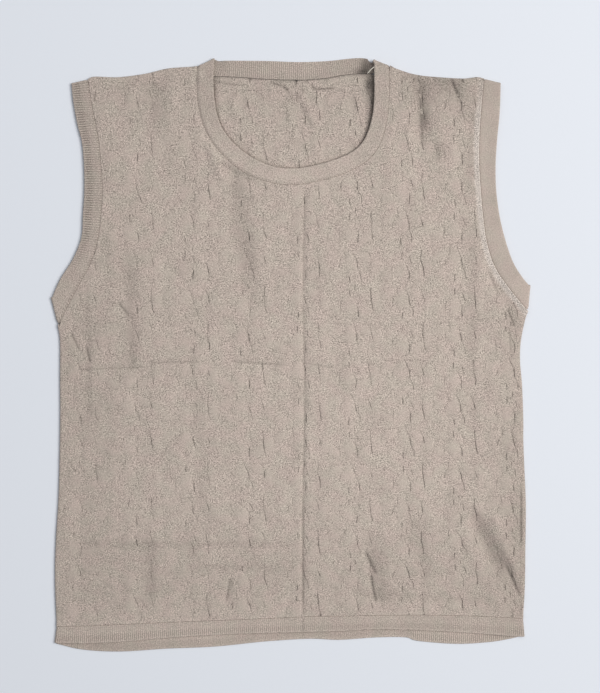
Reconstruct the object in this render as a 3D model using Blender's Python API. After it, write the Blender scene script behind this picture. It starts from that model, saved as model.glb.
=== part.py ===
"""Sleeveless knitted tank top, laid flat with its front up.

The tables and sizes are in millimetres, and MM turns them into metres where a mesh is made. +Y
points to the neck and +Z up. The origin lies on the surface under the middle of the garment.

The front panel lies on the back panel and turns down at the sides and shoulders, where a tube of
cloth folds. Three rib bands are closed rings pressed flat: one round the neck and one round each
armhole. A rib strip finishes the hem of each panel. The front carries a raised flower repeat.
"""

import math
from collections import namedtuple

import bpy
import numpy as np
from mathutils import Vector
from mathutils.geometry import delaunay_2d_cdt

MM = 0.001
UP = Vector((0.0, 0.0, 1.0))

# Cloth and seams
CLOTH = 1.5  # thickness of the two panels
RIB = 1.6  # thickness of the rib bands
GAP = 0.3  # between pieces that are sewn together or lie on each other
LAYER = RIB + GAP  # height of the front's underside where it lies on the back
HEM_DEPTH = 17.0  # the back's rib strip, from its seam to its free edge
BLISTER = 0.9  # height of the raised flowers
FOLD_WALL = 1.2  # wall that turns down at a fold
BACK_INSET = 1.9  # the back's edge, inside the fold of the front
CUT_ROUND = 0.3  # roundness of a cut edge

# Spacing of the points
SIDE_STEP = 15.0  # along the sides and shoulders
ARMHOLE_STEP = 11.0
NECK_STEP = 8.0
HEM_STEP = 16.0
CORNER_STEP = 3.0  # from a corner to the fold's next point
CURVE_STEPS = 24  # to each row of a table
FOLD_STEPS = 4  # round the fold of a band
CREASE_STEP = 11.0
LEAST_STEP = 3.4  # between points of the front's top
UNDER_STEP, SWELL_STEP, BACK_STEP = 28.0, 13.0, 60.0

# A row of a band: its free edge, then its seam
BandRow = namedtuple("BandRow", "free_x free_y seam_x seam_y")
SEAM = slice(2, 4)
# Armholes from the shoulder down to the underarm
LEFT_ARMHOLE = [
    BandRow(-219.0, 271.5, -202.5, 275.0),
    BandRow(-217.0, 252.0, -199.0, 252.0),
    BandRow(-213.0, 230.0, -195.0, 231.5),
    BandRow(-208.5, 212.0, -191.5, 212.5),
    BandRow(-206.5, 190.0, -189.5, 190.0),
    BandRow(-206.0, 165.0, -188.0, 165.0),
    BandRow(-207.5, 140.0, -189.5, 139.0),
    BandRow(-209.0, 117.0, -192.5, 115.0),
    BandRow(-217.5, 95.5, -199.5, 92.0),
    BandRow(-230.0, 75.5, -212.0, 68.5),
    BandRow(-239.1, 55.0, -232.5, 29.0),
]
RIGHT_ARMHOLE = [
    BandRow(209.5, 271.5, 193.0, 275.5),
    BandRow(209.0, 252.0, 191.0, 252.0),
    BandRow(208.0, 235.0, 189.5, 235.0),
    BandRow(206.0, 215.0, 188.5, 214.0),
    BandRow(204.5, 190.0, 188.5, 189.0),
    BandRow(205.0, 165.0, 190.0, 164.0),
    BandRow(208.5, 138.0, 192.5, 136.0),
    BandRow(214.0, 115.0, 196.5, 110.0),
    BandRow(221.5, 93.0, 204.0, 88.0),
    BandRow(230.5, 78.0, 217.0, 68.0),
    BandRow(239.25, 67.5, 237.0, 43.5),
]
# Neckband: its front half from the left shoulder round to the right one
FRONT_NECK = [
    BandRow(-77.0, 293.5, -93.0, 288.0),
    BandRow(-77.0, 276.0, -93.5, 274.0),
    BandRow(-76.0, 255.0, -93.0, 254.0),
    BandRow(-73.0, 238.5, -89.0, 235.0),
    BandRow(-67.5, 225.0, -82.0, 218.0),
    BandRow(-57.0, 211.5, -69.0, 200.5),
    BandRow(-40.0, 198.0, -47.5, 182.5),
    BandRow(-19.0, 188.5, -22.5, 172.5),
    BandRow(2.0, 186.0, 3.0, 169.5),
    BandRow(23.0, 189.0, 28.5, 173.5),
    BandRow(47.0, 196.0, 55.0, 181.5),
    BandRow(64.0, 204.5, 75.5, 193.0),
    BandRow(74.5, 217.0, 88.5, 208.5),
    BandRow(81.0, 237.0, 95.5, 231.5),
    BandRow(83.0, 257.0, 98.0, 255.0),
    BandRow(83.0, 276.0, 98.0, 275.0),
    BandRow(83.0, 294.5, 98.5, 288.0),
]
# Its back half turns in under the front half at each shoulder, then runs straight across
BACK_NECK = [
    BandRow(-77.0, 293.5, -93.0, 288.0),
    BandRow(-75.2, 291.2, -89.5, 281.5),
    BandRow(-73.8, 291.8, -83.0, 278.6),
    BandRow(-71.0, 293.6, -75.5, 278.0),
    BandRow(-64.0, 294.2, -66.0, 278.0),
    BandRow(-48.0, 293.8, -48.0, 277.0),
    BandRow(-23.0, 293.5, -23.0, 275.3),
    BandRow(9.0, 292.5, 9.0, 274.5),
    BandRow(37.0, 293.5, 35.0, 276.3),
    BandRow(56.0, 295.6, 53.0, 279.5),
    BandRow(68.5, 296.5, 70.0, 281.0),
    BandRow(75.5, 294.6, 78.5, 280.8),
    BandRow(79.0, 291.8, 86.0, 279.8),
    BandRow(80.4, 290.2, 93.5, 281.5),
    BandRow(83.0, 294.5, 98.5, 288.0),
]

# Folded edges, as (x, y): the shoulders from left to right, the sides from the underarm down
LEFT_SHOULDER = [(-202.5, 275.0), (-196.0, 277.8), (-172.0, 277.3), (-145.0, 280.8),
                 (-122.0, 286.0), (-93.0, 288.0)]
RIGHT_SHOULDER = [(98.5, 288.0), (109.0, 284.2), (122.0, 280.3), (139.0, 277.8),
                  (171.0, 275.8), (186.0, 277.3), (193.0, 275.5)]
LEFT_SIDE = [(-232.5, 29.0), (-230.5, 12.0), (-230.5, -25.0), (-230.3, -60.0), (-230.8, -97.0),
             (-232.0, -143.0), (-234.7, -187.0), (-235.5, -225.0), (-233.8, -271.3)]
RIGHT_SIDE = [(237.0, 43.5), (234.0, 34.5), (230.0, 14.5), (229.0, -5.5), (231.0, -30.0),
              (232.3, -65.0), (232.3, -85.0), (233.3, -112.0), (234.8, -150.0),
              (234.3, -195.0), (233.8, -232.0), (232.0, -263.3)]

# Hem from left to right: the front's rib seam, and the free edges of the front and back ribs
HemRow = namedtuple("HemRow", "seam_x seam_y free_x front_y back_y")
HEM = [
    HemRow(-233.8, -271.3, -236.0, -287.8, -288.3),
    HemRow(-208.0, -270.8, -208.0, -288.2, -294.5),
    HemRow(-171.0, -269.3, -171.0, -286.8, -296.5),
    HemRow(-125.0, -267.3, -125.0, -282.8, -293.7),
    HemRow(-75.0, -265.3, -75.0, -279.6, -291.5),
    HemRow(-26.0, -263.3, -26.0, -277.8, -286.5),
    HemRow(18.0, -261.3, 18.0, -276.8, -283.8),
    HemRow(49.0, -260.8, 49.0, -275.8, -284.8),
    HemRow(84.0, -260.3, 84.0, -274.0, -282.5),
    HemRow(114.0, -259.8, 114.0, -274.5, -282.3),
    HemRow(127.0, -259.8, 127.0, -274.9, -285.9),
    HemRow(164.0, -260.3, 164.0, -276.8, -288.8),
    HemRow(194.0, -261.3, 194.0, -278.8, -287.5),
    HemRow(215.0, -262.3, 215.0, -280.5, -284.6),
    HemRow(232.0, -263.3, 233.6, -281.5, -280.3),
]

# Where the front stands up off the back, as soft swells
Swell = namedtuple("Swell", "x y reach_x reach_y rise")
SWELLS = [
    Swell(0.0, -50.0, 200.0, 230.0, 1.3),
    Swell(93.0, 252.0, 24.0, 62.0, 4.6),
    Swell(150.0, 262.0, 48.0, 36.0, 2.2),
    Swell(-86.0, 278.0, 24.0, 34.0, 1.4),
    Swell(0.0, 176.0, 90.0, 26.0, 0.8),
    Swell(216.0, 70.0, 30.0, 38.0, 1.5),
    Swell(196.0, -190.0, 40.0, 60.0, 1.8),
]
SWOLLEN = 1.6  # rise from which the underside needs closer points

# Folds and pressed creases of the front: a rise above 0 is a ridge, below 0 a trough
Fold = namedtuple("Fold", "x0 y0 x1 y1 width rise")
FOLDS = [
    Fold(14.0, 166.0, 12.0, -10.0, 3.6, -0.8),  # centre crease, upper half
    Fold(12.0, 10.0, 12.5, -258.0, 3.6, -0.8),  # centre crease, lower half
    Fold(-222.0, -13.0, 60.0, -8.0, 4.0, -0.5),  # crease across the waist
    Fold(128.0, 276.0, 131.0, 210.0, 6.0, -2.0),  # right shoulder
    Fold(147.0, 276.0, 150.0, 215.0, 7.0, 1.2),
    Fold(164.0, 274.0, 168.0, 235.0, 5.0, -1.6),
    Fold(113.0, 272.0, 118.0, 200.0, 7.0, 1.0),
    Fold(196.0, 96.0, 216.0, 50.0, 7.0, -1.8),  # right underarm
    Fold(217.0, 52.0, 224.0, 5.0, 6.0, -1.2),
    Fold(182.0, -160.0, 208.0, -212.0, 8.0, -1.8),  # lower right
    Fold(205.0, -160.0, 222.0, -215.0, 7.0, 1.2),
    Fold(213.0, -205.0, 225.0, -248.0, 5.0, -1.4),
    Fold(76.0, -195.0, 86.0, -248.0, 4.5, -1.2),  # tuck above the hem
    Fold(-84.0, 214.0, -68.0, 172.0, 6.0, 1.3),  # ridge beside the neck
    Fold(-62.0, 186.0, -26.0, 166.0, 6.0, -0.9),
    Fold(-148.0, -215.0, -149.0, -256.0, 7.0, -0.9),  # lower left
    Fold(-62.0, -226.0, -65.0, -250.0, 4.5, -0.8),
]
FLANK = 1.3  # a fold's outer points lie this many of its widths from its line

# The flower repeat: columns of flowers, each half a repeat lower than its neighbour
COLUMN = 52.0  # from column to column
REPEAT = 76.0  # from flower to flower down a column
FIRST_COLUMN, FIRST_FLOWER = 7.0, 146.0  # x and y of one flower
LEFT_SPREAD = 56.0 / 52.0  # the columns left of it lie wider apart
TOP_RATE, HEM_RATE = 76.0 / 77.5, 2.9e-4  # the rows draw closer towards the hem
COLUMNS, ROWS = range(-5, 6), range(-2, 7)
# Petals round a flower's centre
Petal = namedtuple("Petal", "angle inner outer rise")
PETALS = [
    Petal(90.0, 3.0, 24.0, 1.0),
    Petal(40.0, 4.0, 25.0, 0.85),
    Petal(0.0, 4.5, 24.0, 0.75),
    Petal(-40.0, 4.0, 25.0, 0.85),
    Petal(-90.0, 3.0, 24.0, 1.0),
    Petal(-140.0, 4.0, 25.0, 0.85),
    Petal(180.0, 4.5, 24.0, 0.75),
    Petal(140.0, 4.0, 25.0, 0.85),
]
PETAL_SHAPE = ((0.4, 0.9), (0.75, 1.0), (1.08, 0.0))  # share of its length, share of its rise
HEART_RISE, BETWEEN_PETALS = 0.25, 13.0
LEAF_LENGTH, LEAF_WIDTH, LEAF_RISE = 22.0, 10.5, 0.8
BUD_REACH, BUD_RISE = 9.0, 0.35

CLOTH_COLOUR = (0.46, 0.385, 0.325)
RIB_COLOUR = (0.44, 0.365, 0.305)
SHARP_ANGLE = math.radians(40)

Edge = namedtuple("Edge", "points folded")
Section = namedtuple("Section", "free seam facing")


def clear_scene():
    for obj in list(bpy.data.objects):
        bpy.data.objects.remove(obj)


def knit_material(name, colour):
    material = bpy.data.materials.new(name)
    material.use_nodes = True
    shader = material.node_tree.nodes["Principled BSDF"]
    shader.inputs["Base Color"].default_value = (*colour, 1.0)
    shader.inputs["Roughness"].default_value = 0.9
    shader.inputs["Metallic"].default_value = 0.0
    return material


def make_object(name, points, faces, material):
    mesh = bpy.data.meshes.new(name)
    mesh.from_pydata([Vector(p) * MM for p in points], [], faces)
    mesh.materials.append(material)
    mesh.shade_smooth()
    mesh.set_sharp_from_angle(angle=SHARP_ANGLE)
    obj = bpy.data.objects.new(name, mesh)
    bpy.context.scene.collection.objects.link(obj)
    return obj


def unit(vectors):
    return vectors / np.linalg.norm(vectors, axis=-1, keepdims=True)


def smooth(rows):
    """A Catmull-Rom curve through a table's rows, with all their columns."""
    rows = np.array(rows, float)
    rows = np.vstack([2 * rows[0] - rows[1], rows, 2 * rows[-1] - rows[-2]])
    t = np.linspace(0.0, 1.0, CURVE_STEPS, endpoint=False)[:, None]
    spans = [
        b + 0.5 * t * (c - a + t * (2 * a - 5 * b + 4 * c - d + t * (3 * b - a - 3 * c + d)))
        for a, b, c, d in zip(rows, rows[1:], rows[2:], rows[3:])
    ]
    return np.vstack([*spans, rows[-2]])


def spaced(curve, step, by=slice(0, 2)):
    """The curve's points at even steps of about this size, measured in two of its columns."""
    lengths = np.linalg.norm(np.diff(curve[:, by], axis=0), axis=1)
    along = np.concatenate([[0.0], np.cumsum(lengths)])
    wanted = np.linspace(0.0, along[-1], max(2, round(along[-1] / step)) + 1)
    return np.column_stack([np.interp(wanted, along, values) for values in curve.T])


def seam_line(rows, step):
    return spaced(smooth(rows), step, SEAM)[:, SEAM]


def fold_line(points):
    """A folded edge, with a point close to each of its corners."""
    line = spaced(smooth(points), SIDE_STEP)
    first = line[0] + CORNER_STEP * unit(line[1] - line[0])
    last = line[-1] + CORNER_STEP * unit(line[-2] - line[-1])
    return np.vstack([line[0], first, line[1:-1], last, line[-1]])


def hem_line(x_name, y_name, offset=0.0):
    points = [(getattr(row, x_name), getattr(row, y_name) + offset) for row in HEM]
    return spaced(smooth(points), HEM_STEP)


def fold_height(fold, xy):
    """Height that one fold adds: a soft bump across its line, which fades at both ends."""
    start, end = np.array([fold.x0, fold.y0]), np.array([fold.x1, fold.y1])
    along = ((xy - start) @ (end - start)) / ((end - start) @ (end - start))
    foot = start + np.clip(along, 0.0, 1.0)[:, None] * (end - start)
    across = np.linalg.norm(xy - foot, axis=1)
    fade = np.clip(np.minimum(along, 1.0 - along) * 5.0 + 0.4, 0.0, 1.0)
    return fold.rise * fade * np.exp(-((across / fold.width) ** 2))


def lift(xy):
    """Height of the front's underside above the surface, never less than one layer."""
    raised = np.zeros(len(xy))
    for swell in SWELLS:
        away = ((xy - (swell.x, swell.y)) / (swell.reach_x, swell.reach_y)) ** 2
        raised += swell.rise * np.exp(-away.sum(axis=1))
    for fold in FOLDS:
        raised += fold_height(fold, xy)
    return LAYER + 0.5 * (raised + np.sqrt(raised**2 + 0.04))


def on_front(across, down):
    """Where a point of the flat repeat lies on the front panel."""
    x = FIRST_COLUMN + np.where(across < 0.0, across * LEFT_SPREAD, across)
    fall = (np.sqrt(TOP_RATE**2 + 4 * HEM_RATE * down) - TOP_RATE) / (2 * HEM_RATE)
    return np.column_stack([x, FIRST_FLOWER - fall])


def repeat_points():
    """(across, down, rise) of the points that carry one flower, its two leaves and the bud."""
    points = [(0.0, 0.0, HEART_RISE)]
    for petal, after in zip(PETALS, PETALS[1:] + PETALS[:1]):
        turn = math.radians(petal.angle)
        for share, rise in PETAL_SHAPE:
            r = petal.inner + share * (petal.outer - petal.inner)
            points.append((r * math.cos(turn), -r * math.sin(turn), rise * petal.rise))
        step = (after.angle - petal.angle + 180.0) % 360.0 - 180.0
        between = math.radians(petal.angle + step / 2)
        points.append((BETWEEN_PETALS * math.cos(between), -BETWEEN_PETALS * math.sin(between), 0.0))
    for down in (-REPEAT / 4, REPEAT / 4):
        points.append((COLUMN / 2, down - LEAF_LENGTH / 4, LEAF_RISE))
        points.append((COLUMN / 2, down + LEAF_LENGTH / 4, LEAF_RISE))
        points.append((COLUMN / 2 - LEAF_WIDTH / 2, down, 0.0))
        points.append((COLUMN / 2 + LEAF_WIDTH / 2, down, 0.0))
    points.append((0.0, REPEAT / 2, BUD_RISE))
    points.append((-BUD_REACH, REPEAT / 2, 0.0))
    points.append((BUD_REACH, REPEAT / 2, 0.0))
    return np.array(points)


def pattern_points():
    """(x, y, rise) of the whole repeat, laid out past the panel's edges."""
    flower = repeat_points()
    placed = np.vstack([
        flower + (k * COLUMN, (n + 0.5 * (k % 2)) * REPEAT, 0.0) for k in COLUMNS for n in ROWS
    ])
    return np.column_stack([on_front(placed[:, 0], placed[:, 1]), placed[:, 2] * BLISTER])


def crease_points():
    """(x, y, 0) along every fold, on its line and on both its flanks."""
    points = []
    for fold in FOLDS:
        start, end = Vector((fold.x0, fold.y0, 0.0)), Vector((fold.x1, fold.y1, 0.0))
        aside = (end - start).cross(UP).normalized() * fold.width * FLANK
        count = max(2, round((end - start).length / CREASE_STEP))
        for k in range(count + 1):
            here = start.lerp(end, k / count)
            points += [here, here + aside, here - aside]
    return np.array(points)


def inside(loop, points, margin):
    """The points that lie inside the loop, at least margin from it."""
    xy = points[:, :2]
    crossings = np.zeros(len(xy), int)
    nearest = np.full(len(xy), np.inf)
    for p, q in zip(loop, np.roll(loop, -1, axis=0)):
        spans = (p[1] > xy[:, 1]) != (q[1] > xy[:, 1])
        slope = (q[0] - p[0]) / (q[1] - p[1]) if q[1] != p[1] else 0.0
        crossings += spans & (xy[:, 0] < p[0] + (xy[:, 1] - p[1]) * slope)
        along = np.clip(((xy - p) @ (q - p)) / ((q - p) @ (q - p)), 0.0, 1.0)
        nearest = np.minimum(nearest, np.linalg.norm(xy - p - along[:, None] * (q - p), axis=1))
    return points[(crossings % 2 == 1) & (nearest > margin)]


def thinned(points, least):
    """The points in their order, without those nearer than least to an earlier one."""
    cells, kept = {}, []
    for point in points:
        i, j = int(point[0] // least), int(point[1] // least)
        near = [p for a in (-1, 0, 1) for b in (-1, 0, 1) for p in cells.get((i + a, j + b), [])]
        if all(math.dist(p[:2], point[:2]) >= least for p in near):
            cells.setdefault((i, j), []).append(point)
            kept.append(point)
    return np.array(kept)


def lattice(loop, step):
    """(x, y, 0) of a square grid inside the loop."""
    low, high = loop.min(axis=0), loop.max(axis=0)
    xs, ys = np.meshgrid(np.arange(low[0], high[0], step), np.arange(low[1], high[1], step))
    grid = np.column_stack([xs.ravel(), ys.ravel(), np.zeros(xs.size)])
    return inside(loop, grid, 5.0)


class Outline:
    """A closed loop of folded and cut edges, walked counter-clockwise.

    Every point has a way in. Moved along it by an inset, a fold's point ends that far inside its
    edge, and a corner slides along the cut edge beside it, so that the seam stays where it is.
    """

    def __init__(self, edges):
        places, ways, folded, corner = [], [], [], []
        for k, edge in enumerate(edges):
            tangent = unit(np.gradient(edge.points, axis=0))
            inward = np.column_stack([-tangent[:, 1], tangent[:, 0]])
            keep = slice(None) if edge.folded else slice(1, -1)
            if edge.folded:
                before, after = edges[k - 1].points, edges[(k + 1) % len(edges)].points
                for end, along in ((0, before[-2] - before[-1]), (-1, after[1] - after[0])):
                    way = unit(along)
                    inward[end] = way / (way @ inward[end])
            places.append(edge.points[keep])
            ways.append(inward[keep])
            count = len(places[-1])
            folded += [edge.folded] * count
            corner += [edge.folded and i in (0, count - 1) for i in range(count)]
        self.xy, self.inward = np.vstack(places), np.vstack(ways)
        self.folded, self.corner = np.array(folded), np.array(corner)

    def ring(self, inset, height):
        return np.column_stack([self.xy + inset[:, None] * self.inward, height])


def front_rings(outline, thickness):
    """Rings of a front piece: over the fold and down to the surface, or down a cut edge."""
    under = lift(outline.xy)
    top = under + thickness
    flat = np.zeros(len(top))
    turned = outline.folded & ~outline.corner
    # Inset and height where the cloth folds, then inset and height where it is cut
    profile = [
        (0.5 * top, top, CUT_ROUND, top),
        (0.15 * top, 0.87 * top, 0.05, top - 0.2),
        (flat, 0.55 * top, 0.0, top - 0.5),
        (flat + 0.1, flat, 0.0, under + 0.4),
        (flat + FOLD_WALL, flat, 0.05, under + 0.2),
        (1.0 + 0.17 * top, under, CUT_ROUND, under),
    ]
    return [
        outline.ring(np.where(turned, inset, cut_inset), np.where(turned, height, cut_height))
        for inset, height, cut_inset, cut_height in profile
    ]


def back_rings(outline, thickness):
    """Rings of a back piece, which lies on the surface just inside the front's fold."""
    edge = np.where(outline.folded, BACK_INSET, 0.0)
    profile = [(CUT_ROUND, 1.0), (0.0, 0.7), (0.0, 0.25), (0.2, 0.0)]
    return [
        outline.ring(edge + inset, np.full(len(edge), share * thickness))
        for inset, share in profile
    ]


def triangles(loop, inner):
    """Triangles over a loop and the points inside it, facing up."""
    count = len(loop)
    points = [Vector(p[:2]) for p in (*loop, *inner)]
    sides = [(k, (k + 1) % count) for k in range(count)]
    _, _, faces, origins, _, _ = delaunay_2d_cdt(points, sides, [], 1, 1e-6)
    return [tuple(origins[i][0] for i in face) for face in faces]


def make_sheet(name, rings, top_inner, under_inner, material):
    """A closed wall of cloth. Its rings run from the top's outline round to the underside's."""
    count = len(rings[0])
    points = [tuple(p) for ring in rings for p in ring]
    faces = []
    for first in range(0, count * (len(rings) - 1), count):
        for k in range(count):
            a, b = first + k, first + (k + 1) % count
            faces.append((a, a + count, b + count, b))
    last = count * (len(rings) - 1)
    for start, ring, inner in ((0, rings[0], top_inner), (last, rings[-1], under_inner)):
        shift = len(points) - count
        points += [tuple(p) for p in inner]
        for face in triangles(ring, inner):
            ids = [i + start if i < count else i + shift for i in face]
            faces.append(ids if start == 0 else ids[::-1])
    return make_object(name, points, faces, material)


def body_edges(neck, joint):
    """Edges of a body panel, counter-clockwise from its lower left corner."""
    return [
        Edge(joint, False),
        Edge(fold_line(RIGHT_SIDE)[::-1], True),
        Edge(seam_line(RIGHT_ARMHOLE, ARMHOLE_STEP)[::-1], False),
        Edge(fold_line(RIGHT_SHOULDER)[::-1], True),
        Edge(seam_line(neck, NECK_STEP)[::-1], False),
        Edge(fold_line(LEFT_SHOULDER)[::-1], True),
        Edge(seam_line(LEFT_ARMHOLE, ARMHOLE_STEP), False),
        Edge(fold_line(LEFT_SIDE), True),
    ]


def make_front_panel(material):
    rings = front_rings(Outline(body_edges(FRONT_NECK, hem_line("seam_x", "seam_y"))), CLOTH)
    loop = rings[0][:, :2]
    creases = crease_points()
    top = thinned(inside(loop, np.vstack([creases, pattern_points()]), 2.5), LEAST_STEP)
    top[:, 2] += lift(top[:, :2]) + CLOTH
    near = lattice(loop, SWELL_STEP)
    near = near[lift(near[:, :2]) > LAYER + SWOLLEN]
    under = np.vstack([inside(loop, creases, 4.0), near, lattice(loop, UNDER_STEP)])
    under = thinned(under, LEAST_STEP + 1.0)
    under[:, 2] = lift(under[:, :2])
    return make_sheet("front_panel", rings, top, under, material)


def make_back_panel(material):
    edges = body_edges(BACK_NECK, hem_line("seam_x", "back_y", HEM_DEPTH))
    rings = back_rings(Outline(edges), CLOTH)
    under = lattice(rings[-1][:, :2], BACK_STEP)
    return make_sheet("back_panel", rings, under + (0.0, 0.0, CLOTH), under, material)


def make_hem(name, free, joint, rings_of, material):
    """A rib strip between its free edge and its seam, a gap below the panel."""
    joint = joint - (0.0, GAP)
    edges = [
        Edge(free, False),
        Edge(fold_line([free[-1], joint[-1]]), True),
        Edge(joint[::-1], False),
        Edge(fold_line([joint[0], free[0]]), True),
    ]
    none = np.zeros((0, 3))
    return make_sheet(name, rings_of(Outline(edges), RIB), none, none, material)


def band_half(rows, step, front):
    """Sections of one half of a band, through the middle of its thickness."""
    curve = spaced(smooth(rows), step, SEAM)
    free, seam = curve[:, :2], curve[:, SEAM]
    seam = seam + GAP * unit(free - seam)
    middle = RIB / 2
    flat = np.full(len(free), middle)
    heights = (lift(free) + middle, lift(seam) + middle) if front else (flat, flat)
    return [
        Section(Vector((*f, f_height)), Vector((*s, s_height)), UP if front else -UP)
        for f, f_height, s, s_height in zip(free, heights[0], seam, heights[1])
    ]


def drawn_in(end, beside, outward, reach):
    """The end of an edge, slid along it until a fold of this reach fits inside the outline."""
    way = Vector((*(beside - end).xy, 0.0)).normalized()
    return end + way * (reach / way.dot(-outward))


def round_fold(front, back, end):
    """Draws in the last sections of both halves, and returns those round the fold between them."""
    beside = 1 if end == 0 else -2
    along = front[end].seam - front[end].free
    outward = Vector((along.y, -along.x, 0.0)).normalized()
    if outward.dot(front[end].seam) < 0.0:
        outward.negate()
    pairs = []
    for edge in ("free", "seam"):
        high, low = getattr(front[end], edge), getattr(back[end], edge)
        reach = (high.z - low.z + RIB) / 2
        pairs.append((drawn_in(high, getattr(front[beside], edge), outward, reach),
                      drawn_in(low, getattr(back[beside], edge), outward, reach)))
    front[end] = Section(pairs[0][0], pairs[1][0], UP)
    back[end] = Section(pairs[0][1], pairs[1][1], -UP)
    turns = []
    for k in range(1, FOLD_STEPS):
        turn = math.pi * k / FOLD_STEPS
        facing = UP * math.cos(turn) + outward * math.sin(turn)
        edges = [(high + low) / 2 + facing * (high.z - low.z) / 2 for high, low in pairs]
        turns.append(Section(*edges, facing))
    return turns


def make_band(name, front_rows, back_rows, step, material):
    """A rib ring pressed flat: its front half, a fold, its back half and the other fold."""
    front, back = band_half(front_rows, step, True), band_half(back_rows, step, False)
    last_fold, first_fold = round_fold(front, back, -1), round_fold(front, back, 0)
    sections = front + last_fold + back[::-1] + first_fold[::-1]
    across, ahead = front[1].seam - front[1].free, front[2].free - front[1].free
    if across.cross(ahead).z < 0.0:
        sections.reverse()
    # Round the strip: share of its width from the free edge, and share of half its thickness
    profile = [(0.02, 0.6), (0.08, 1.0), (0.93, 1.0), (1.0, 0.6), (1.0, -0.6), (0.93, -1.0),
               (0.08, -1.0), (0.0, -0.4)]
    points = [
        section.free.lerp(section.seam, width) + section.facing * height * RIB / 2
        for section in sections for width, height in profile
    ]
    around, total = len(profile), len(points)
    faces = []
    for first in range(0, total, around):
        after = (first + around) % total
        for j in range(around):
            k = (j + 1) % around
            faces.append((first + j, first + k, after + k, after + j))
    return make_object(name, points, faces, material)


def main():
    clear_scene()
    cloth = knit_material("flower_knit", CLOTH_COLOUR)
    rib = knit_material("rib_knit", RIB_COLOUR)
    make_front_panel(cloth)
    make_back_panel(cloth)
    front_seam, front_free = hem_line("seam_x", "seam_y"), hem_line("free_x", "front_y")
    back_seam, back_free = hem_line("seam_x", "back_y", HEM_DEPTH), hem_line("free_x", "back_y")
    make_hem("hem_front", front_free, front_seam, front_rings, rib)
    make_hem("hem_back", back_free, back_seam, back_rings, rib)
    make_band("neckband", FRONT_NECK, BACK_NECK, NECK_STEP, rib)
    make_band("armband_left", LEFT_ARMHOLE, LEFT_ARMHOLE, ARMHOLE_STEP, rib)
    make_band("armband_right", RIGHT_ARMHOLE, RIGHT_ARMHOLE, ARMHOLE_STEP, rib)


main()
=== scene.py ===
"""Looks of the knitted tank top, laid flat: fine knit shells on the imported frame, with materials,
floor, light and camera.

The tables and sizes are in millimetres, and MM turns them into metres where a mesh is made. +Y
points to the neck and +Z up, and the surface that the garment lies on is at height 0.
"""

import math
from collections import namedtuple

import bpy
import numpy as np
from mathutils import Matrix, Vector, kdtree
from mathutils.geometry import delaunay_2d_cdt

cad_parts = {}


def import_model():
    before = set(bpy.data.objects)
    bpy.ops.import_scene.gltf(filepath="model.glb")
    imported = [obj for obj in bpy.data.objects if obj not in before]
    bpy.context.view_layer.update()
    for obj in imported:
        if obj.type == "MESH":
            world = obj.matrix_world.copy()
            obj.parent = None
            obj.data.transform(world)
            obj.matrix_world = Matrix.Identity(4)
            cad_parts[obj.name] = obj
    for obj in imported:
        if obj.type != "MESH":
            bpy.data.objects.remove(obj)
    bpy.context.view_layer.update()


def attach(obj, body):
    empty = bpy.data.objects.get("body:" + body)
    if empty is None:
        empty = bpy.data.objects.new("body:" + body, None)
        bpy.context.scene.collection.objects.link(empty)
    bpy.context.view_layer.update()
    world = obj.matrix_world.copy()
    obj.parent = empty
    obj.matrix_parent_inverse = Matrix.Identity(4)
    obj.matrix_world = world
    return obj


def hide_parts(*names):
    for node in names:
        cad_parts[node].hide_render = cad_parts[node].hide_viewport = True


MM = 0.001

# Cloth and seams, as in the solids
CLOTH = 1.5  # thickness of the two panels
RIB = 1.6  # thickness of the rib bands
GAP = 0.3  # between pieces that are sewn together or lie on each other
LAYER = RIB + GAP  # height of the front's underside where it lies on the back
HEM_DEPTH = 17  # the back's rib strip, from its seam to its free edge
FOLD_WALL = 1.2  # wall that turns down at a fold
BACK_INSET = 1.9  # the back's edge, inside the fold of the front

# A row of a band: its free edge, then its seam
BandRow = namedtuple("BandRow", "free_x free_y seam_x seam_y")
SEAM = slice(2, 4)
# Armholes from the shoulder down to the underarm
LEFT_ARMHOLE = [BandRow(*row) for row in (
    (-219, 271.5, -202.5, 275), (-217, 252, -199, 252), (-213, 230, -195, 231.5),
    (-208.5, 212, -191.5, 212.5), (-206.5, 190, -189.5, 190), (-206, 165, -188, 165),
    (-207.5, 140, -189.5, 139), (-209, 117, -192.5, 115), (-217.5, 95.5, -199.5, 92),
    (-230, 75.5, -212, 68.5), (-239.1, 55, -232.5, 29),
)]
RIGHT_ARMHOLE = [BandRow(*row) for row in (
    (209.5, 271.5, 193, 275.5), (209, 252, 191, 252), (208, 235, 189.5, 235),
    (206, 215, 188.5, 214), (204.5, 190, 188.5, 189), (205, 165, 190, 164),
    (208.5, 138, 192.5, 136), (214, 115, 196.5, 110), (221.5, 93, 204, 88), (230.5, 78, 217, 68),
    (239.25, 67.5, 237, 43.5),
)]
# Neckband: its front half from the left shoulder round to the right one
FRONT_NECK = [BandRow(*row) for row in (
    (-76, 296.4, -93, 288), (-77, 276, -93.5, 274), (-76, 255, -93, 254), (-73, 238.5, -89, 235),
    (-67.5, 225, -82, 218), (-57, 211.5, -69, 200.5), (-40, 198, -47.5, 182.5),
    (-19, 188.5, -22.5, 172.5), (2, 186, 3, 169.5), (23, 189, 28.5, 173.5), (47, 196, 55, 181.5),
    (64, 204.5, 75.5, 193), (74.5, 217, 88.5, 208.5), (81, 237, 95.5, 231.5), (83, 257, 98, 255),
    (83, 276, 98, 275), (83, 294.5, 98.5, 288),
)]
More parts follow.
